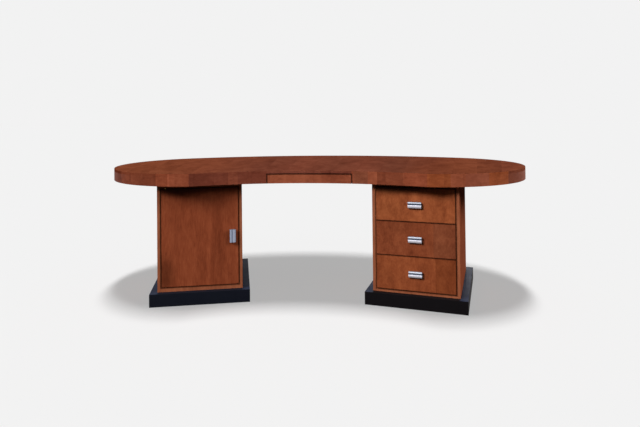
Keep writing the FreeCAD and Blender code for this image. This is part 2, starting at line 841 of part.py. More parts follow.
def make_door(frame):
    body = new_body()
    sketch = sketch_on(body, "XY_Plane", door_low)
    add_rectangle(sketch, -half_front, front_face, half_front, front_back)
    pad(body, sketch, door_high - door_low)
    soften(body, size["edge_break"], "Y", front_face)
    socket_radius = size["bush_radius"] + size["fit_clearance"]
    for level, backwards in ((door_low, True), (door_high, False)):
        socket = sketch_on(body, "XY_Plane", level)
        add_circle(socket, (pivot_x, pivot_y), socket_radius)
        pocket(body, socket, size["bush_length"] + size["fit_clearance"], backwards)
    keep("door", body, frame)
    make_bushes(frame)
    plate = board((catch_x, front_back, catch_low),
                  (size["catch_length"], size["catch_plate_thickness"],
                   door_high - catch_low))
    keep("catch_plate", plate, frame)
    turn = FreeCAD.Rotation(FreeCAD.Vector(0, 1, 0), -90)
    place = FreeCAD.Vector(door_handle_x.value, front_face.value, door_middle.value)
    keep("door_handle", make_handle(), frame.multiply(FreeCAD.Placement(place, turn)))


def make_bushes(frame):
    """Bushes let into the door's ends, around the pivot pins."""
    bushes = []
    running = size["pivot_radius"] + size["fit_clearance"]
    for level, way in ((door_low, 1), (door_high, -1)):
        base = (pivot_x, pivot_y, level)
        outer = rod(base, (0, 0, way), size["bush_radius"], size["bush_length"])
        bore = rod(base, (0, 0, way), running, size["bush_length"])
        bushes.append(cut(outer, [bore]))
    keep("door_bushes", group(bushes), frame)


# ---------------------------------------------------------------- handles

handle_edge_depth = size["handle_foot_depth"] + size["handle_edge"]
handle_valley_depth = size["handle_projection"] - size["handle_groove"]


def ridge_radius(width):
    """The round of a ridge of this width that reaches the bar's full projection."""
    slope = handle_valley_depth - handle_edge_depth
    height = size["handle_projection"] - (handle_edge_depth + handle_valley_depth) / 2
    return (width * width / 4 + slope * slope / 4 + height * height) / (2 * height)


def make_handle():
    """A bar on a narrower neck, with a wide round ridge below a narrow one.

    Its plan of its own has X along the bar, the mounting face at Y = 0 and the
    ridges towards -Y.
    """
    half = size["handle_height"] / 2
    foot = size["handle_foot_height"] / 2
    neck = size["handle_foot_depth"]
    edge = handle_edge_depth
    groove = size["handle_groove_rise"]
    body = new_body()
    sketch = sketch_on(body, "YZ_Plane", -size["handle_length"] / 2)
    add_loop(sketch,
             ((NOTHING, -foot), (-neck, -foot), (-neck, -half), (-edge, -half),
              (-handle_valley_depth, groove), (-edge, half), (-neck, half),
              (-neck, foot), (NOTHING, foot)),
             {3: (ridge_radius(half + groove), "right"),
              4: (ridge_radius(half - groove), "right")})
    pad(body, sketch, size["handle_length"])
    return body


# ---------------------------------------------------------------- the drawers

drawer_count = len(DRAWER_NAMES)
drawer_front_height = (drawer_space_high - drawer_space_low
                       - size["drawer_gap"] * (drawer_count + 1)) / drawer_count
drawer_side_inside = half_front - size["drawer_side_thickness"]
drawer_end = front_back + size["drawer_box_length"]
runner_inside = half_inside - size["runner_depth"]
groove_height = size["runner_height"] + 2 * size["running_clearance"]


def drawer_low(level):
    """The lower edge of a drawer's front; level 0 is the bottom drawer."""
    return drawer_space_low + size["drawer_gap"] + level * (
        drawer_front_height + size["drawer_gap"])


def groove_low(level):
    """The lower edge of the runner's groove, half way up a drawer side."""
    return (drawer_low(level) + size["drawer_side_rise"]
            + (size["drawer_side_height"] - groove_height) / 2)


def add_tails(sketch, level):
    """The dovetails' outlines, seen along X, with the wide ends in the front."""
    count = int(size["tail_count"].value)
    pitch = size["drawer_side_height"] / count
    side_low = drawer_low(level) + size["drawer_side_rise"]
    wide = size["tail_width"] / 2
    narrow = wide - size["tail_taper"]
    tip = front_back - size["tail_length"]
    for number in range(count):
        middle = side_low + pitch * (number + 0.5)
        add_loop(sketch,
                 ((front_back, middle - narrow), (front_back, middle + narrow),
                  (tip, middle + wide), (tip, middle - wide)))


def make_drawer_front(name, level, frame):
    low = drawer_low(level)
    body = new_body()
    sketch = sketch_on(body, "XY_Plane", low)
    add_rectangle(sketch, -half_front, front_face, half_front, front_back)
    pad(body, sketch, drawer_front_height)
    soften(body, size["edge_break"], "Y", front_face)
    sockets = sketch_on(body, "YZ_Plane", drawer_side_inside)
    add_tails(sockets, level)
    cut_right = pocket(body, sockets, size["drawer_side_thickness"], backwards=True)
    both = body.newObject("PartDesign::Mirrored", "Mirrored")
    both.Originals = [cut_right]
    plane = next(item for item in body.Origin.OriginFeatures
                 if item.Role == "YZ_Plane")
    both.MirrorPlane = (plane, [""])
    body.Tip = both
    keep(f"{name}_drawer_front", body, frame)


def make_drawer_side(level):
    """The right side: grooved outside for its runner and inside for the bottom."""
    low = drawer_low(level) + size["drawer_side_rise"]
    high = low + size["drawer_side_height"]
    slot_low = groove_low(level)
    slot_high = slot_low + groove_height
    slot_end = runner_inside - size["running_clearance"]
    panel_low = low + size["drawer_bottom_rise"]
    panel_high = panel_low + size["drawer_bottom_thickness"]
    panel_end = drawer_side_inside + size["drawer_groove_depth"]
    body = new_body()
    sketch = sketch_on(body, "XZ_Plane", -front_back)
    add_loop(sketch,
             ((drawer_side_inside, low), (half_front, low), (half_front, slot_low),
              (slot_end, slot_low), (slot_end, slot_high), (half_front, slot_high),
              (half_front, high), (drawer_side_inside, high),
              (drawer_side_inside, panel_high), (panel_end, panel_high),
              (panel_end, panel_low), (drawer_side_inside, panel_low)))
    pad(body, sketch, size["drawer_box_length"], backwards=True)
    tails = sketch_on(body, "YZ_Plane", drawer_side_inside)
    add_tails(tails, level)
    pad(body, tails, size["drawer_side_thickness"])
    return body


def make_drawer(name, level, frame):
    make_drawer_front(name, level, frame)
    side = make_drawer_side(level)
    keep(f"{name}_drawer_sides", group([side, mirror_image(side)]), frame)
    low = drawer_low(level) + size["drawer_side_rise"]
    panel_low = low + size["drawer_bottom_rise"]
    panel_high = panel_low + size["drawer_bottom_thickness"]
    panel_half = drawer_side_inside + size["drawer_groove_depth"]
    back = board((-drawer_side_inside, drawer_end - size["drawer_side_thickness"],
                  panel_high),
                 (2 * drawer_side_inside, size["drawer_side_thickness"],
                  low + size["drawer_side_height"] - panel_high))
    keep(f"{name}_drawer_back", back, frame)
    bottom = board((-panel_half, front_back, panel_low),
                   (2 * panel_half, size["drawer_box_length"],
                    size["drawer_bottom_thickness"]))
    keep(f"{name}_drawer_bottom", bottom, frame)
    middle = drawer_low(level) + drawer_front_height / 2
    place = FreeCAD.Placement(FreeCAD.Vector(0, front_face.value, middle.value),
                              FreeCAD.Rotation())
    keep(f"{name}_drawer_handle", make_handle(), frame.multiply(place))


def make_runners(frame):
    """Wooden battens on the cabinet's sides that run in the drawer sides' grooves."""
    start = front_back + size["runner_stop_gap"]
    extent = (size["runner_depth"], back_board_front - start, size["runner_height"])
    members = []
    for level in range(drawer_count):
        low = groove_low(level) + size["running_clearance"]
        members.append(board((runner_inside, start, low), extent))
        members.append(board((-half_inside, start, low), extent))
    keep("drawer_runners", group(members), frame)


# ---------------------------------------------------------------- the desk

def make_desk():
    make_top()
    make_pencil_rails()
    make_pencil_drawer()
    left = pedestal_frame(-1)
    right = pedestal_frame(1)
    make_plinth("left", left)
    make_cupboard(left)
    make_door(left)
    make_plinth("right", right)
    make_cabinet("right", right, {})
    make_runners(right)
    for level, name in enumerate(DRAWER_NAMES):
        make_drawer(name, level, right)


def check_and_export():
    doc.recompute()
    for item in doc.Objects:
        if "Invalid" in item.State or "Error" in item.State:
            raise RuntimeError(f"{item.Label} did not recompute: {item.State}")
    for piece in pieces:
        if piece.Shape.isNull() or not piece.Shape.isValid():
            raise RuntimeError(f"{piece.Label} has no valid shape")
    os.makedirs("parts", exist_ok=True)
    for piece in pieces:
        piece.Shape.exportStep(f"parts/{piece.Label}.step")


make_desk()
check_and_export()
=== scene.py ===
import math

import bmesh
import bpy
from mathutils import Euler, Matrix, Vector


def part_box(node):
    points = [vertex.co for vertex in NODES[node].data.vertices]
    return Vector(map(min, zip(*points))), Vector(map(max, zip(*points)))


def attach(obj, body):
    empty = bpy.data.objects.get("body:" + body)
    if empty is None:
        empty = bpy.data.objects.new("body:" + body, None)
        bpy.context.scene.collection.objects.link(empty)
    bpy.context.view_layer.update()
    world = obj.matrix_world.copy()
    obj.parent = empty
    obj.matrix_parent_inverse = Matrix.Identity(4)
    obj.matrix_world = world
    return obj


# Captain's desk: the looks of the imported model, on a white studio floor.
# Lengths are in metres and every object is in the part's own frame:
# +X to the sitter's right, +Y away from the sitter, +Z up, the floor at 0.

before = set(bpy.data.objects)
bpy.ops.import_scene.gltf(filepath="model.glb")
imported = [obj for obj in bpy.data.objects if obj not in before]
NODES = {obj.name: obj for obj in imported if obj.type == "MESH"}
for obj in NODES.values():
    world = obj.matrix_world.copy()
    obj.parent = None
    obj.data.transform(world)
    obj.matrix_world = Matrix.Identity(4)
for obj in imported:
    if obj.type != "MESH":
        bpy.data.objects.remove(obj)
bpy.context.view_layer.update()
DRAWERS = ("bottom", "middle", "top")

# ---------------------------------------------------------------- the desk's plan

TOP_LOW, TOP_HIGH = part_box("top_board")
TOP_END = TOP_HIGH.x
END_RADIUS = 0.57
BAY_CORNER = 0.672                            # where the hollow front begins
PENCIL_END = 0.248                            # half the pencil drawer's front
FAN_CENTRE_Y = -5.0                           # the top's leaves spread from this point
SPLAY = math.radians(13.5)                    # the pedestals' turn about Z
LEFT, RIGHT = -1, 1                           # the pedestals, by the sign of X there


def middle(node):
    """The middle of a node's box."""
    low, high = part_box(node)
    return (low + high) / 2


def pedestal_centre(side):
    """The middle of the left or the right pedestal, on the floor."""
    centre = middle("right_plinth" if side == RIGHT else "left_plinth")
    centre.z = 0
    return centre


def pedestal_box(side, *names):
    """The lowest and highest corners of nodes, with their pedestal turned to face -Y."""
    turn = Matrix.Rotation(side * SPLAY, 3, "Z")
    places = [turn @ (vertex.co - pedestal_centre(side))
              for name in names for vertex in NODES[name].data.vertices]
    return Vector(map(min, zip(*places))), Vector(map(max, zip(*places)))


def on_pedestal(side, place):
    """Where a place on a pedestal that faces -Y is in the part's own frame."""
    return Matrix.Rotation(-side * SPLAY, 3, "Z") @ Vector(place) + pedestal_centre(side)


# ---------------------------------------------------------------- camera

# Fitted to the outlines of the top, the cabinets and the plinths in the photograph.
CAMERA_PLACE = (0.3154, -3.5631, 1.0821)
CAMERA_HEADING = 5.300                        # degrees to the left of +Y
CAMERA_UP = 0.741                             # degrees
CAMERA_ROLL = -0.592                          # degrees
CAMERA_LENS = 29.63                           # mm
CAMERA_SENSOR = 36                            # mm
CAMERA_SHIFT = (0.0097, -0.1637)              # shares of the picture's width
CAMERA_FAR = 200


def make_camera():
    data = bpy.data.cameras.new("Camera")
    data.sensor_width = CAMERA_SENSOR
    data.lens = CAMERA_LENS
    data.shift_x, data.shift_y = CAMERA_SHIFT
    data.clip_end = CAMERA_FAR
    camera = bpy.data.objects.new("Camera", data)
    turn = (Matrix.Rotation(math.radians(CAMERA_HEADING), 4, "Z")
            @ Matrix.Rotation(math.radians(90 + CAMERA_UP), 4, "X")
            @ Matrix.Rotation(math.radians(CAMERA_ROLL), 4, "Z"))
    camera.matrix_world = Matrix.Translation(CAMERA_PLACE) @ turn
    bpy.context.scene.collection.objects.link(camera)
    bpy.context.scene.camera = camera


# ---------------------------------------------------------------- shader helpers

EDGE_ROUND = 0.0008                           # how far the shading softens edges
PATCH_CORE = 0.2                               # share of a dark patch's reach at full depth
GAP_SHADE_CORE = 0.35                              # and of the painted shade along a gap
CLOUD_SPAN = (0.3, 0.7)                       # noise where a look is at its two ends


class Shader:
    """A material's node tree, with short calls for the nodes used below."""

    def __init__(self, name):
        self.material = bpy.data.materials.new(name)
        self.material.use_nodes = True
        self.tree = self.material.node_tree
        self.surface = self.tree.nodes["Principled BSDF"]

    def add(self, kind, inputs=None, **settings):
        node = self.tree.nodes.new(f"ShaderNode{kind}")
        for name, value in settings.items():
            setattr(node, name, value)
        for name, value in (inputs or {}).items():
            self.give(node.inputs[name], value)
        return node

    def give(self, socket, value):
        if isinstance(value, bpy.types.NodeSocket):
            self.tree.links.new(value, socket)
        else:
            socket.default_value = value

    def set(self, **values):
        """Sets the main shader's own sockets, named with _ for a space."""
        for name, value in values.items():
            self.give(self.surface.inputs[name.replace("_", " ")], value)

    def math(self, operation, *values):
        node = self.add("Math", operation=operation)
        for socket, value in zip(node.inputs, values):
            self.give(socket, value)
        return node.outputs[0]

    def place(self):
        """Coordinates in the part's frame at rest, in metres."""
        return self.add("TexCoord").outputs["Object"]

    def upward(self):
        """How far the surface looks up: 1 on top, 0 on a side, -1 underneath."""
        return self.split(self.add("TexCoord").outputs["Normal"])[2]

    def split(self, vector):
        node = self.add("SeparateXYZ", {0: vector})
        return node.outputs[0], node.outputs[1], node.outputs[2]

    def join(self, x, y, z):
        return self.add("CombineXYZ", {0: x, 1: y, 2: z}).outputs[0]

    def scaled(self, vector, x, y, z):
        return self.add("VectorMath", {0: vector, 1: (x, y, z)},
                        operation="MULTIPLY").outputs[0]

    def noise(self, vector, detail=2.0, roughness=0.5, distortion=0.0):
        node = self.add("TexNoise", {"Vector": vector, "Scale": 1.0, "Detail": detail,
                                     "Roughness": roughness,
                                     "Distortion": distortion})
        return node.outputs["Fac"]

    def cloud(self, cells, detail, roughness=0.5):
        """Noise with as many cells to the metre along X, Y and Z alike."""
        return self.noise(self.scaled(self.place(), cells, cells, cells), detail,
                          roughness)

    def random(self, value):
        """The same random number from 0 to 1 wherever value is the same."""
        return self.add("TexWhiteNoise", {"W": value},
                        noise_dimensions="1D").outputs["Value"]

    def span(self, value, low, high, out_low=0.0, out_high=1.0):
        node = self.add("MapRange", {"Value": value, "From Min": low, "From Max": high,
                                     "To Min": out_low, "To Max": out_high})
        return node.outputs[0]

    def ramp(self, value, stops, interpolation="LINEAR"):
        node = self.add("ValToRGB", {"Fac": value})
        node.color_ramp.interpolation = interpolation
        points = node.color_ramp.elements
        while len(points) < len(stops):
            points.new(0.5)
        for point, (position, colour) in zip(points, stops):
            point.position = position
            point.color = (*colour, 1)
        return node.outputs["Color"]

    def bands(self, place, high, stops, interpolation="CONSTANT"):
        """The tone of the band that place is in; each stop is a band's start and tone."""
        low = stops[0][0]
        places = [((start - low) / (high - low), tone) for start, tone in stops]
        return self.ramp(self.span(place, low, high), places, interpolation)

    def patch(self, x, z, middle, reach, depth):
        """A grey factor for a soft dark patch on a front: painted shadow, or a darker
        patch.
        """
        across = self.math("DIVIDE", self.math("SUBTRACT", x, middle[0]), reach[0])
        up = self.math("DIVIDE", self.math("SUBTRACT", z, middle[1]), reach[1])
        far = self.math("SQRT", self.math("MULTIPLY_ADD", across, across,
                                          self.math("MULTIPLY", up, up)))
        node = self.add("MapRange", {"Value": far, "From Min": PATCH_CORE,
                                     "From Max": 1.0, "To Min": 1 - depth,
                                     "To Max": 1.0}, interpolation_type="SMOOTHSTEP")
        return node.outputs[0]

    def outline(self, x, z, box, reach, depth, behind=None, faint_left=0.0):
        """A grey factor that paints shade on both sides of a box's outline on a front, as
        in a gap.

        behind keeps it off what lies further back, and faint_left is the share
        that is taken off at the box's left edge.
        """
        low, high = box
        centre, half = (low + high) / 2, (high - low) / 2
        beside = self.math("SUBTRACT", self.math("ABSOLUTE", self.math(
            "SUBTRACT", x, centre.x)), half.x)
        above = self.math("SUBTRACT", self.math("ABSOLUTE", self.math(
            "SUBTRACT", z, centre.z)), half.z)
        off = self.math("ABSOLUTE", self.math("MAXIMUM", beside, above))
        if behind is not None:
            off = self.math("MAXIMUM", off, behind)
        painted_shade = self.span(off, GAP_SHADE_CORE * reach, reach, depth, 0.0)
        if faint_left:
            at_left = self.math("LESS_THAN", x, low.x + reach)
            painted_shade = self.math("MULTIPLY", painted_shade,
                             self.math("MULTIPLY_ADD", at_left, -faint_left, 1.0))
        return self.math("SUBTRACT", 1.0, painted_shade)

    def times(self, first, second):
        """One colour times another."""
        return self.mix(1.0, first, second, "MULTIPLY")

    def mix(self, share, first, second, blend_type="MIX"):
        node = self.add("Mix", data_type="RGBA", blend_type=blend_type)
        self.give(node.inputs[0], share)
        for number, colour in ((6, first), (7, second)):
            if not isinstance(colour, bpy.types.NodeSocket):
                colour = (*colour, 1)
            self.give(node.inputs[number], colour)
        return node.outputs[2]

    def shade(self, colour, amount):
        """The colour times a grey amount."""
        return self.times(colour, self.join(amount, amount, amount))

    def bump(self, height, strength, distance):
        """Relief from a height, on edges that are shaded a little round."""
        rounded = self.add("Bevel", {"Radius": EDGE_ROUND}, samples=4).outputs[0]
        node = self.add("Bump", {"Height": height, "Strength": strength,
                                 "Distance": distance, "Normal": rounded})
        self.give(self.surface.inputs["Normal"], node.outputs[0])


# ---------------------------------------------------------------- wood

FIGURE = (                                    # cells a metre across and along, share
    (9, 0.9, 0.55),                           # broad bands
    (34, 9, 0.42),                            # mottle
    (150, 22, 0.42),                          # short streaks
    (420, 16, 0.25))                          # fibres
EDGE_FIGURE = ((9, 6, 0.45), (16, 40, 0.45), (60, 110, 0.30), (420, 16, 0.12))
TOP_FIGURE = ((6, 3, 0.50), (13, 8, 0.45), (60, 20, 0.16), (420, 30, 0.12))
DRAWER_FIGURE = ((9, 2, 0.50), (30, 22, 0.50), (110, 60, 0.35), (420, 16, 0.15))
FIGURE_SPAN = 0.26                            # the figure where colours are at an end
PORES = (1500, 55)                            # cells a metre across and along
PORE_SPAN = (0.62, 0.74)                      # noise where pores begin and are full
PORE_DEPTH = 0.3
JOINT_WIDTH = 0.0006                          # half the joint between two leaves
JOINT_DEPTH = 0.35
SHIFT_WIDTHS, SHIFT = 7.3, 3.1                # most that a leaf's figure is shifted by,
                                              # in leaf widths and in metres on top


def tones(red, green, blue):
    """A wood's dark, middle and light colours about its middle one."""
    return ((red * 0.60, green * 0.53, blue * 0.52), (red, green, blue),
            (red * 1.38, green * 1.52, blue * 1.55))


def wood(shader, grain, colours, figure=1.0, pores=1.0, cells=FIGURE):
    """Wood whose grain runs along Z of the coordinates grain, which are in metres.

    colours are three, from dark to light. Returns the colour and a height, which
    comes from the fibres, the last of cells, and from the pores.
    """
    value = 0.0
    for across, along, share in cells:
        part = shader.noise(shader.scaled(grain, across, across, along), 3, 0.55, 0.5)
        part = shader.math("SUBTRACT", part, 0.5)
        value = shader.math("MULTIPLY_ADD", part, share * figure, value)
    fibre = part
    pore = shader.noise(shader.scaled(grain, PORES[0], *PORES), 1, 0.5)
    colour = shader.ramp(shader.span(value, -FIGURE_SPAN, FIGURE_SPAN),
                         [(0.0, colours[0]), (0.5, colours[1]), (1.0, colours[2])])
    dash = shader.span(pore, *PORE_SPAN)
    colour = shader.shade(colour, shader.math("MULTIPLY_ADD", dash,
                                              -PORE_DEPTH * pores, 1.0))
    height = shader.math("SUBTRACT", shader.math("MULTIPLY", fibre, 0.5), dash)
    return colour, height


def leaves(shader, across, width, seed, spread):
    """Veneer leaves: a grey factor for each leaf with a fine joint between leaves."""
    count = shader.math("DIVIDE", across, width)
    number = shader.math("FLOOR", count)
    chance = shader.random(shader.math("ADD", number, seed))
    tone = shader.span(chance, 0, 1, 1 - spread, 1 + spread)
    part = shader.math("ABSOLUTE", shader.math(
        "SUBTRACT", shader.math("FRACT", count), 0.5))
    joint = shader.span(part, 0.5 - JOINT_WIDTH / width, 0.5, 0.0, JOINT_DEPTH)
    return number, shader.math("SUBTRACT", tone, joint)


def matched(shader, across, number, width):
    """Across, shifted for each leaf, so that no leaf repeats its neighbour."""
    return shader.math("MULTIPLY_ADD", shader.random(number),
                       SHIFT_WIDTHS * width + SHIFT, across)


# the top's wood, with a painted neutral sheen in its colour, as its own specular is 0
TOP_WOOD_AND_SHEEN = tones(0.190, 0.0515, 0.0260)
EDGE_WOOD = tones(0.385, 0.098, 0.047)
DOOR_WOOD = tones(0.29, 0.066, 0.026)
SIDE_WOOD = tones(0.26, 0.066, 0.030)
DRAWER_WOODS = {"bottom": tones(0.290, 0.071, 0.025),
                "middle": tones(0.263, 0.064, 0.025),
                "top": tones(0.338, 0.087, 0.030)}
LIPPING = tones(0.34, 0.104, 0.048)
OAK = ((0.33, 0.19, 0.085), (0.44, 0.28, 0.14), (0.53, 0.36, 0.19))
BEECH = ((0.34, 0.19, 0.09), (0.43, 0.26, 0.13), (0.50, 0.32, 0.17))
PLY = ((0.22, 0.10, 0.045), (0.30, 0.15, 0.07), (0.36, 0.19, 0.095))

# What a leaf of veneer does to its wood's colour.
BRIGHT = (1.0, 1.0, 1.0)
LIGHT = (0.90, 0.92, 0.90)
PINK = (0.86, 0.92, 1.0)
AMBER = (0.97, 0.93, 0.70)
GOLD = (0.80, 0.76, 0.55)
WARM = (0.87, 0.85, 0.76)
SOFT = (0.81, 0.79, 0.77)
ROSE = (0.80, 0.79, 0.86)
MEDIUM = (0.74, 0.70, 0.66)
ASH = (0.74, 0.84, 0.88)
COOL = (0.71, 0.73, 0.81)
DEEP = (0.63, 0.66, 0.73)
BROWN = (0.59, 0.56, 0.54)
PLUM = (0.52, 0.50, 0.58)
UMBER = (0.50, 0.47, 0.46)
DARK = (0.35, 0.30, 0.29)

FRONT_GAP_SHADE = 0.0045                           # painted shade of the gap along a front's edges
FRONT_GAP_SHADE_DEPTH = 0.6
LIPPING_GAP_SHADE = 0.009                          # and on the frame beside it
LIPPING_GAP_SHADE_DEPTH = 0.75
FAINT_LEFT = {RIGHT: 0.45}                    # less of both at the drawers' left ends
PENCIL_GAP_SHADE = 0.007                           # painted shade in the gap around the pencil drawer's front
PENCIL_GAP_SHADE_DEPTH = 0.7
SLOT_BELOW = 0.1                              # no painted shade under it: the slot is open there
OVER_PENCIL = (0.66, 0.68, 0.86)              # tone of the strip above that front

WOOD_ROUGHNESS = 0.5
FRONT_GLOSS = 0.03
SIDE_STRETCH = 1.02                           # leaves run on from fronts to sides

# Leaf widths, then tones: where each begins along X, and what it does to the wood.
TOP_LEAF = 0.152
TOP_DRIFT = 0.3                               # how far noise moves the top's tones
TOP_TONES_END = 1.40
TOP_TONES = ((-1.30, WARM), (-0.95, WARM), (-0.62, SOFT), (-0.29, COOL), (-0.08, ROSE),
             (0.12, COOL), (0.30, ROSE), (0.54, DEEP), (0.80, MEDIUM), (0.98, WARM),
             (1.25, SOFT))
EDGE_LEAF = 0.104
EDGE_BANDS_END = 1.32
EDGE_BANDS = ((-1.32, DARK), (-1.14, UMBER), (-0.87, MEDIUM), (-0.80, BRIGHT),
              (-0.785, SOFT), (-BAY_CORNER, PLUM), (-0.47, COOL), (-0.42, PLUM),
              (-PENCIL_END, LIGHT), (0.07, SOFT), (PENCIL_END, ASH), (0.34, LIGHT),
              (0.39, BROWN), (0.53, MEDIUM), (0.66, GOLD), (0.78, LIGHT),
              (0.86, PINK), (1.0, AMBER), (1.12, DEEP))


def top_colour(shader):
    """Leaves that run from front to back and spread a little towards the back."""
    x, y, z = shader.split(shader.place())
    depth = shader.math("SUBTRACT", y, FAN_CENTRE_Y)
    across = shader.math("MULTIPLY", shader.math("DIVIDE", x, depth), -FAN_CENTRE_Y)
    number, tone = leaves(shader, across, TOP_LEAF, seed=11.0, spread=0.04)
    grain = shader.join(matched(shader, across, number, TOP_LEAF), z, y)
    colour, height = wood(shader, grain, TOP_WOOD_AND_SHEEN, cells=TOP_FIGURE)
    drift = shader.noise(shader.scaled(shader.place(), 5, 3, 5), 2, 0.5)
    place = shader.math("MULTIPLY_ADD", drift, TOP_DRIFT,
                        shader.math("SUBTRACT", across, TOP_DRIFT / 2))
    colour = shader.times(colour,
                          shader.bands(place, TOP_TONES_END, TOP_TONES, "LINEAR"))
    return shader.shade(colour, tone), height


def edge_colour(shader):
    """Upright leaves around the edge, measured along it."""
    x, y, z = shader.split(shader.place())
    side = shader.math("SIGN", x)
    from_end = shader.math("SUBTRACT", shader.math("ABSOLUTE", x),
                           TOP_END - END_RADIUS)
    forward = shader.math("SUBTRACT", y, TOP_LOW.y + END_RADIUS)
    turn = shader.math("ARCTAN2", shader.math("MAXIMUM", from_end, 0.0),
                       shader.math("MULTIPLY", forward, -1.0))
    on_end = shader.math("MULTIPLY", turn, END_RADIUS)
    straight = shader.math("MINIMUM", from_end, 0.0)
    across = shader.math("MULTIPLY", side, shader.math("ADD", on_end, straight))
    number, tone = leaves(shader, across, EDGE_LEAF, seed=4.0, spread=0.05)
    grain = shader.join(matched(shader, across, number, EDGE_LEAF), 0.0, z)
    colour, height = wood(shader, grain, EDGE_WOOD, cells=EDGE_FIGURE)
    colour = shader.times(colour, shader.bands(x, EDGE_BANDS_END, EDGE_BANDS))
    # painted shade in the gap around the pencil drawer's front
    low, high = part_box("pencil_drawer_front")
    low.z -= SLOT_BELOW
    pencil_gap_shade = shader.outline(x, z, (low, high), PENCIL_GAP_SHADE, PENCIL_GAP_SHADE_DEPTH, y)
    over = shader.math("GREATER_THAN", z, high.z)
    inside = shader.math("LESS_THAN", shader.math("ABSOLUTE", x), high.x)
    strip = shader.math("MULTIPLY", over, inside)
    colour = shader.mix(strip, colour, shader.times(colour, OVER_PENCIL))
    return shader.shade(colour, shader.math("MULTIPLY", tone, pencil_gap_shade)), height


def finish_wood(shader, colour, height, roughness, specular):
    """The wood's material, from its colour and height."""
    shader.set(Base_Color=colour, Specular_IOR_Level=specular)
    shader.set(Roughness=shader.math("MULTIPLY_ADD", height, -0.08, roughness))
    shader.bump(height, 0.25, 0.00025)
    return shader.material


def top_veneer():
    shader = Shader("top_veneer")
    flat, flat_height = top_colour(shader)
    upright, upright_height = edge_colour(shader)
    is_top = shader.math("GREATER_THAN", shader.math("ABSOLUTE", shader.upward()), 0.5)
    colour = shader.mix(is_top, upright, flat)
    height = shader.add("Mix", {0: is_top, 2: upright_height, 3: flat_height}
                        ).outputs[0]
    return finish_wood(shader, colour, height, WOOD_ROUGHNESS, 0.0)


def edge_veneer():
    shader = Shader("edge_veneer")
    colour, height = edge_colour(shader)
    return finish_wood(shader, colour, height, WOOD_ROUGHNESS, FRONT_GLOSS)


def pedestal_place(shader, side, centre=None):
    """Coordinates from centre, or a pedestal's middle, with its front facing -Y."""
    if not side:
        return shader.place()
    if centre is None:
        centre = pedestal_centre(side)
    moved = shader.add("VectorMath", {0: shader.place(), 1: centre},
                       operation="SUBTRACT").outputs[0]
    return shader.add("VectorRotate", {"Vector": moved, "Axis": (0, 0, 1),
                                       "Angle": side * SPLAY}).outputs[0]


def pedestal_veneer(name, side, leaf, seed, colours, specular, bands=None, shadow_and_patches=(),
                    border=None, cells=FIGURE):
    """Veneer with upright grain on a pedestal's fronts and sides."""
    shader = Shader(name)
    x, y, z = shader.split(pedestal_place(shader, side))
    across = shader.math("ADD", x, shader.math("MULTIPLY", y, SIDE_STRETCH))
    number, tone = leaves(shader, across, leaf, seed, spread=0.04)
    grain = shader.join(matched(shader, across, shader.math("ADD", number, seed), leaf),
                        0.0, z)
    colour, height = wood(shader, grain, colours, figure=1.1, cells=cells)
    if bands:
        colour = shader.times(colour, shader.bands(x, FRONT_BANDS_END, bands))
    # painted shadow of the top, and darker patches
    for patch in shadow_and_patches:
        tone = shader.math("MULTIPLY", tone, shader.patch(x, z, *patch))
    # painted shade in the gaps around the fronts
    if border:
        gap_shade = shader.outline(x, z, border, FRONT_GAP_SHADE, FRONT_GAP_SHADE_DEPTH,
                              faint_left=FAINT_LEFT.get(side, 0.0))
        tone = shader.math("MULTIPLY", tone, gap_shade)
    colour = shader.shade(colour, tone)
    return finish_wood(shader, colour, height, WOOD_ROUGHNESS, specular)


def plain_wood(name, colours, axis, roughness=0.55, side=0, pores=0.6, specular=0.2,
               border=None):
    """Solid wood or plywood whose grain runs along X, Y or Z of its pedestal.

    Where side is 0, it belongs to no pedestal and the axes are the part's own.
    """
    shader = Shader(name)
    x, y, z = shader.split(pedestal_place(shader, side))
    order = {"X": (z, y, x), "Y": (x, z, y), "Z": (x, y, z)}[axis]
    colour, height = wood(shader, shader.join(*order), colours, 0.8, pores)
    # painted shade in the gaps beside the fronts
    if border:
        gap_shade = shader.outline(x, z, border, LIPPING_GAP_SHADE, LIPPING_GAP_SHADE_DEPTH,
                              faint_left=FAINT_LEFT.get(side, 0.0))
        colour = shader.shade(colour, gap_shade)
    return finish_wood(shader, colour, height, roughness, specular)


# ---------------------------------------------------------------- lacquer and metal

LACQUERS = {"left": ((0.0074, 0.0088, 0.0142), (0.0112, 0.0126, 0.0200)),
            "right": ((0.0066, 0.0056, 0.0064), (0.0098, 0.0082, 0.0094))}
# painted bluish sheen, standing for a reflection on the plinths' tops
LACQUER_SHEEN = ((0.013, 0.018, 0.040), (0.018, 0.024, 0.052))
SHEEN_SPAN = (0.235, 0.250)                    # off a plinth's middle: no painted sheen, then all


def black_lacquer(name, side, low, high):
    """Black lacquer from low to high, with a painted bluish sheen on its top beside the
    cabinet.
    """
    shader = Shader(name)
    across, _, _ = shader.split(pedestal_place(shader, side))
    beside = shader.span(shader.math("ABSOLUTE", across), *SHEEN_SPAN)
    sheen_share = shader.math("MULTIPLY", beside, shader.span(shader.upward(), 0.6, 0.95))
    haze = shader.cloud(14, 4, 0.6)
    colour = shader.mix(haze, low, high)
    sheen_colour = shader.mix(haze, *LACQUER_SHEEN)
    shader.set(Base_Color=shader.mix(sheen_share, colour, sheen_colour), Specular_IOR_Level=0.015)
    shader.set(Roughness=shader.span(haze, *CLOUD_SPAN, 0.38, 0.50))
    orange_peel = shader.cloud(420, 2)
    shader.bump(orange_peel, 0.12, 0.0002)
    return shader.material


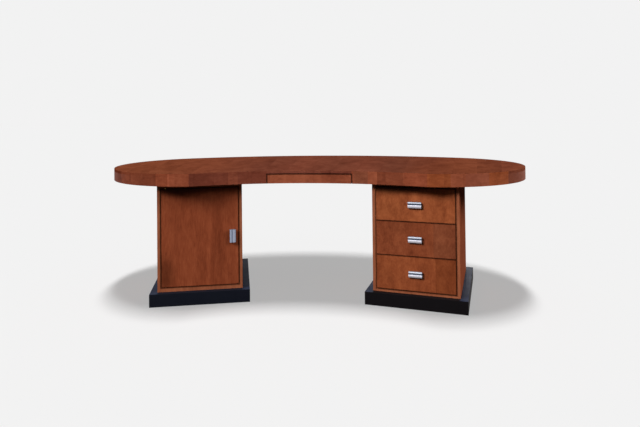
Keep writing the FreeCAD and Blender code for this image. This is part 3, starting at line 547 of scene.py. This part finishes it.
def metal(name, colour, roughness, brushed):
    """Brushed metal; brushed is the scale of the lines along X, Y and Z."""
    shader = Shader(name)
    lines = shader.noise(shader.scaled(shader.place(), *brushed), 3, 0.6)
    light = tuple(min(1, part * 1.08) for part in colour)
    shader.set(Base_Color=shader.mix(shader.cloud(60, 2), colour, light), Metallic=1.0)
    shader.set(Roughness=shader.span(lines, 0.25, 0.75, roughness - 0.05,
                                     roughness + 0.08))
    shader.bump(lines, 0.1, 0.0001)
    return shader.material


GROOVE_RISE = 0.0040                          # the groove, off the handle's middle
GROOVE_HALF = 0.0055
GROOVE_CORE = 0.55                            # share of that half at full depth
# painted shade in the handle's groove
GROOVE_SHADE_COLOUR = (0.060, 0.078, 0.118)
# nickel of the wide and the narrow ridge, with painted light and shade: the drawers'
# narrow ridge darker, and the door's handle darker and bluer than theirs
DRAWER_NICKEL_AS_LIT = ((0.47, 0.46, 0.51), (0.37, 0.39, 0.45))
DOOR_NICKEL_AS_LIT = ((0.29, 0.32, 0.40), (0.28, 0.32, 0.41))


def handle_metal(name, node, side, ridges, over, painted_shade):
    """Satin nickel, with painted shade in the groove between the two ridges.

    ridges are the wide and the narrow ridge's colours, which carry painted light and
    shade, and over is the direction from the wide ridge to the narrow one, as shares
    of the handle's own X and Z.
    """
    shader = Shader(name)
    x, _, z = shader.split(pedestal_place(shader, side, middle(node)))
    across = shader.math("MULTIPLY_ADD", x, over[0], shader.math("MULTIPLY", z, over[1]))
    past = shader.math("SUBTRACT", across, GROOVE_RISE)
    colour = shader.mix(shader.math("GREATER_THAN", past, 0.0), *ridges)
    groove_shade = shader.span(shader.math("ABSOLUTE", past), GROOVE_HALF * GROOVE_CORE,
                            GROOVE_HALF, 1.0, 0.0)
    colour = shader.mix(shader.math("MULTIPLY", groove_shade, painted_shade), colour, GROOVE_SHADE_COLOUR)
    dull = shader.cloud(90, 3, 0.6)
    colour = shader.shade(colour, shader.span(dull, *CLOUD_SPAN, 0.95, 1.02))
    shader.set(Base_Color=colour, Metallic=1.0)
    shader.set(Roughness=shader.span(dull, *CLOUD_SPAN, 0.62, 0.50))
    shader.bump(shader.cloud(700, 2), 0.08, 0.0001)
    return shader.material


# ---------------------------------------------------------------- what each node wears

# Each dark patch is a middle and a reach along the front and upwards, and a depth.
# The first two of the door's and the last two of the top drawer's are painted shadow
# that the top casts along the fronts' upper edges; the rest are darker patches.
DOOR_SHADOW_AND_PATCHES = (((0.0, 0.69), (0.60, 0.070), 0.85),
              ((-0.14, 0.68), (0.26, 0.085), 0.75),
              ((-0.215, 0.165), (0.10, 0.17), 0.48),
              ((0.02, 0.62), (0.30, 0.12), 0.10),
              ((0.10, 0.30), (0.05, 0.20), 0.08))
DRAWER_SHADOW_AND_PATCHES = {"bottom": (((-0.17, 0.16), (0.07, 0.09), 0.08),),
                "middle": (((-0.10, 0.45), (0.14, 0.07), 0.14),
                           ((0.14, 0.33), (0.12, 0.06), 0.12)),
                "top": (((-0.16, 0.55), (0.12, 0.08), 0.07),
                        # painted shadow that the top casts along the drawer's upper edge
                        ((-0.08, 0.69), (0.50, 0.070), 0.85),
                        ((-0.14, 0.68), (0.26, 0.080), 0.75))}
FRONT_BANDS_END = 0.30
DRAWER_BANDS = {"bottom": ((-0.30, BRIGHT), (0.108, MEDIUM)),
                "middle": ((-0.30, BRIGHT), (0.10, PINK)),
                "top": None}
SIDE_LEAF = 0.2
FRONT_LEAF = 0.9                              # one leaf covers a whole front


def dress(material, *nodes):
    """Puts one material on all of some nodes."""
    for name in nodes:
        slots = NODES[name].data.materials
        slots.clear()
        slots.append(material)


def dress_top():
    dress(top_veneer(), "top_board")
    dress(edge_veneer(), "back_apron", "left_end_apron", "right_end_apron",
          "left_front_apron", "right_front_apron", "pencil_drawer_front")
    dress(plain_wood("underside_ply", PLY, "X"), "top_underside")
    dress(plain_wood("inner_beech", BEECH, "Y"), "top_ribs", "pencil_rails",
          "pencil_back_rail")
    dress(plain_wood("pencil_drawer_oak", OAK, "Y"), "pencil_drawer_sides")
    dress(plain_wood("pencil_drawer_back_oak", OAK, "X"), "pencil_drawer_back",
          "pencil_drawer_bottom")


def dress_cabinet(name, side, fronts, seed):
    """A plinth and what stands still on it; fronts are its door or its drawers."""
    dress(black_lacquer(f"{name}_lacquer", side, *LACQUERS[name]), f"{name}_plinth")
    dress(pedestal_veneer(f"{name}_cabinet_veneer", side, SIDE_LEAF, seed, SIDE_WOOD,
                          specular=0.0),
          f"{name}_cabinet_left_side", f"{name}_cabinet_right_side",
          f"{name}_cabinet_back")
    dress(plain_wood(f"{name}_lipping", LIPPING, "Z", WOOD_ROUGHNESS, side, pores=0.8,
                     specular=0.0, border=pedestal_box(side, *fronts)),
          f"{name}_cabinet_lipping")
    dress(plain_wood(f"{name}_cabinet_inside", BEECH, "X", WOOD_ROUGHNESS, side),
          f"{name}_cabinet_floor", f"{name}_cabinet_ceiling")


def dress_door():
    dress(pedestal_veneer("door_veneer", LEFT, FRONT_LEAF, seed=23.0, colours=DOOR_WOOD,
                          specular=FRONT_GLOSS, shadow_and_patches=DOOR_SHADOW_AND_PATCHES,
                          border=pedestal_box(LEFT, "door")), "door")
    dress(handle_metal("door_handle_nickel", "door_handle", LEFT, DOOR_NICKEL_AS_LIT, (-1, 0),
                       painted_shade=0.15), "door_handle")
    dress(plain_wood("shelf_wood", SIDE_WOOD, "X", 0.45, LEFT), "cupboard_shelf")


def dress_drawers():
    box_side = plain_wood("drawer_oak", OAK, "Y", WOOD_ROUGHNESS, RIGHT)
    box_across = plain_wood("drawer_back_oak", OAK, "X", WOOD_ROUGHNESS, RIGHT)
    for number, drawer in enumerate(DRAWERS):
        front, handle = f"{drawer}_drawer_front", f"{drawer}_drawer_handle"
        dress(pedestal_veneer(f"{drawer}_drawer_veneer", RIGHT, FRONT_LEAF,
                              seed=31.0 + number, colours=DRAWER_WOODS[drawer],
                              specular=FRONT_GLOSS, bands=DRAWER_BANDS[drawer],
                              shadow_and_patches=DRAWER_SHADOW_AND_PATCHES[drawer],
                              border=pedestal_box(RIGHT, front),
                              cells=DRAWER_FIGURE), front)
        dress(box_side, f"{drawer}_drawer_sides")
        dress(box_across, f"{drawer}_drawer_back", f"{drawer}_drawer_bottom")
        dress(handle_metal(f"{drawer}_handle_nickel", handle, RIGHT, DRAWER_NICKEL_AS_LIT,
                           (0, 1), painted_shade=1.0), handle)
    dress(plain_wood("runner_beech", BEECH, "Y", WOOD_ROUGHNESS, RIGHT),
          "drawer_runners")


def dress_desk():
    """Every node's material, then the screws, which only this script makes."""
    dress_top()
    dress_cabinet("left", LEFT, ["door"], seed=3.0)
    dress_cabinet("right", RIGHT, [f"{drawer}_drawer_front" for drawer in DRAWERS],
                  seed=8.0)
    dress_door()
    dress_drawers()
    dress(metal("brass", (0.62, 0.43, 0.17), 0.3, (1200, 1200, 40)),
          "door_pivots", "door_bushes", "shelf_pins")
    steel = metal("zinc_steel", (0.5, 0.51, 0.53), 0.34, (900, 900, 60))
    dress(steel, "door_catch", "catch_plate")
    make_screws(steel)


# ---------------------------------------------------------------- screws

HEAD_RADIUS = 0.0042
HEAD_HEIGHT = 0.0022
HEAD_SIDES = 24                               # a multiple of six, for the sockets
HEAD_RINGS = (                                # share of radius and height, if hexagonal
    (1.0, 0.0, False), (1.0, 0.5, False), (0.94, 0.80, False), (0.82, 0.97, False),
    (0.72, 1.0, False), (0.50, 1.0, True), (0.46, 0.92, True), (0.46, 0.35, True))
HANDLE_SCREWS = 0.022                         # each side of a handle's middle
# Places along a pedestal's own X and Y, from its middle.
CEILING_SCREWS = ((-0.15, -0.20), (0.15, -0.20), (-0.15, 0.20), (0.15, 0.20))


def screw_heads(name, body, material, side, places, out):
    """One piece of pan heads with hexagonal sockets, on a face that looks along out."""
    out = Vector(out)
    first = Vector((1, 0, 0))
    second = out.cross(first)
    sixth = math.pi / 3
    build = bmesh.new()
    for place in places:
        loops = []
        for width, rise, hexagonal in HEAD_RINGS:
            loop = []
            for step in range(HEAD_SIDES):
                angle = 2 * math.pi * step / HEAD_SIDES
                reach = width * HEAD_RADIUS
                if hexagonal:
                    reach *= math.cos(sixth / 2) / math.cos(angle % sixth - sixth / 2)
                point = (Vector(place) + reach * math.cos(angle) * first
                         + reach * math.sin(angle) * second + rise * HEAD_HEIGHT * out)
                loop.append(build.verts.new(on_pedestal(side, point)))
            loops.append(loop)
        for lower, upper in zip(loops, loops[1:]):
            for step in range(HEAD_SIDES):
                after = (step + 1) % HEAD_SIDES
                build.faces.new((lower[step], lower[after], upper[after], upper[step]))
        build.faces.new(loops[0][::-1])
        build.faces.new(loops[-1])
    bmesh.ops.recalc_face_normals(build, faces=build.faces)
    mesh = bpy.data.meshes.new(name)
    build.to_mesh(mesh)
    build.free()
    mesh.materials.append(material)
    piece = bpy.data.objects.new(name, mesh)
    bpy.context.scene.collection.objects.link(piece)
    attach(piece, body)


def make_screws(material):
    """The screws that hold the handles, and the cabinets under the top."""
    for side, front, handle, body in (
            [(LEFT, "door", "door_handle", "door")]
            + [(RIGHT, f"{name}_drawer_front", f"{name}_drawer_handle", f"{name}_drawer")
               for name in DRAWERS]):
        back = pedestal_box(side, front)[1].y
        low, high = pedestal_box(side, handle)
        centre = (low + high) / 2
        apart = (0, HANDLE_SCREWS) if side == LEFT else (HANDLE_SCREWS, 0)
        places = [(centre.x + way * apart[0], back, centre.z + way * apart[1])
                  for way in (-1, 1)]
        screw_heads(f"{handle}_screws", body, material, side, places, (0, 1, 0))
    for side, name in ((LEFT, "left"), (RIGHT, "right")):
        under = pedestal_box(side, f"{name}_cabinet_ceiling")[0].z
        screw_heads(f"{name}_ceiling_screws", "root", material, side,
                    [(x, y, under) for x, y in CEILING_SCREWS], (0, 0, -1))


# ---------------------------------------------------------------- studio

BACKGROUND = 0.888                            # what the camera sees around the desk
SKY = 0.07
# Each lamp's strength, then its size, tilt and heading in degrees.
DESK_LAMPS = (
    ("key", 3.4, 20, 53, -50),
    ("fill", 2.25, 26, 60, 80),
    ("back", 1.0, 20, 60, 170))
FLOOR_SUN = 0.604                             # the strength of each lamp for the floor
FLOOR_SUN_ANGLE = 6
FLOOR_SUN_TILTS = (-15, -11.5, -8, -4.5, -1)  # a fan, for a shadow with soft ends
FLOOR_BOUNCE = 0.045                          # the floor, for light that bounces off it
FLOOR_SEEN = 0.468                            # the floor, where camera and gloss see it
FLOOR_GLOW = 0.412                            # and its own light there, for a white floor
FLOOR_HALF = 60.0


def seen_rays(tree):
    """1 for what the camera sees, by itself or in metal and glass, and 0 for light."""
    path = tree.nodes.new("ShaderNodeLightPath")
    seen = path.outputs["Is Camera Ray"]
    for ray in ("Is Glossy Ray", "Is Transmission Ray"):
        either = tree.nodes.new("ShaderNodeMath")
        either.operation = "MAXIMUM"
        tree.links.new(seen, either.inputs[0])
        tree.links.new(path.outputs[ray], either.inputs[1])
        seen = either.outputs[0]
    return seen


def make_floor():
    mesh = bpy.data.meshes.new("studio_floor")
    corners = [(x * FLOOR_HALF, y * FLOOR_HALF, 0)
               for x, y in ((-1, -1), (1, -1), (1, 1), (-1, 1))]
    mesh.from_pydata(corners, [], [(0, 1, 2, 3)])
    floor = bpy.data.objects.new("studio_floor", mesh)
    bpy.context.scene.collection.objects.link(floor)
    shader = Shader("studio_floor")
    seen = seen_rays(shader.tree)
    shader.set(Base_Color=shader.mix(seen, (FLOOR_BOUNCE,) * 3, (FLOOR_SEEN,) * 3),
               Emission_Color=(1, 1, 1, 1),
               Emission_Strength=shader.math("MULTIPLY", seen, FLOOR_GLOW),
               Specular_IOR_Level=0.0, Roughness=1.0)
    mesh.materials.append(shader.material)
    return floor


def make_world():
    """A plain sky of light, behind which camera and reflections see the backdrop."""
    world = bpy.data.worlds.new("Studio")
    bpy.context.scene.world = world
    world.use_nodes = True
    tree = world.node_tree
    tree.nodes.clear()
    mix = tree.nodes.new("ShaderNodeMixShader")
    tree.links.new(seen_rays(tree), mix.inputs[0])
    for socket, strength in ((1, SKY), (2, BACKGROUND)):
        light = tree.nodes.new("ShaderNodeBackground")
        light.inputs["Color"].default_value = (1, 1, 1, 1)
        light.inputs["Strength"].default_value = strength
        tree.links.new(light.outputs[0], mix.inputs[socket])
    output = tree.nodes.new("ShaderNodeOutputWorld")
    tree.links.new(mix.outputs[0], output.inputs["Surface"])


def add_sun(name, strength, angle, tilt, heading):
    """A distant lamp, tilted from straight down and turned about Z, in degrees."""
    data = bpy.data.lights.new(name, "SUN")
    data.energy = strength
    data.angle = math.radians(angle)
    sun = bpy.data.objects.new(name, data)
    sun.rotation_euler = Euler((math.radians(tilt), 0, math.radians(heading)))
    bpy.context.scene.collection.objects.link(sun)
    return sun


def make_lights(floor):
    """Lamps that leave the floor out, and lamps for it alone, for the desk's shadow."""
    floor_lamps = [("floor_sun", FLOOR_SUN, FLOOR_SUN_ANGLE, tilt, 0)
                   for tilt in FLOOR_SUN_TILTS]
    for name, state, lamps in (("desk_lamps_skip", "EXCLUDE", DESK_LAMPS),
                               ("floor_lamp_lights", "INCLUDE", floor_lamps)):
        lit = bpy.data.collections.new(name)
        lit.objects.link(floor)
        lit.collection_objects[0].light_linking.link_state = state
        for lamp in lamps:
            add_sun(*lamp).light_linking.receiver_collection = lit


# ---------------------------------------------------------------- the scene

bpy.context.scene.view_settings.view_transform = "Standard"
dress_desk()
make_lights(make_floor())
make_world()
make_camera()
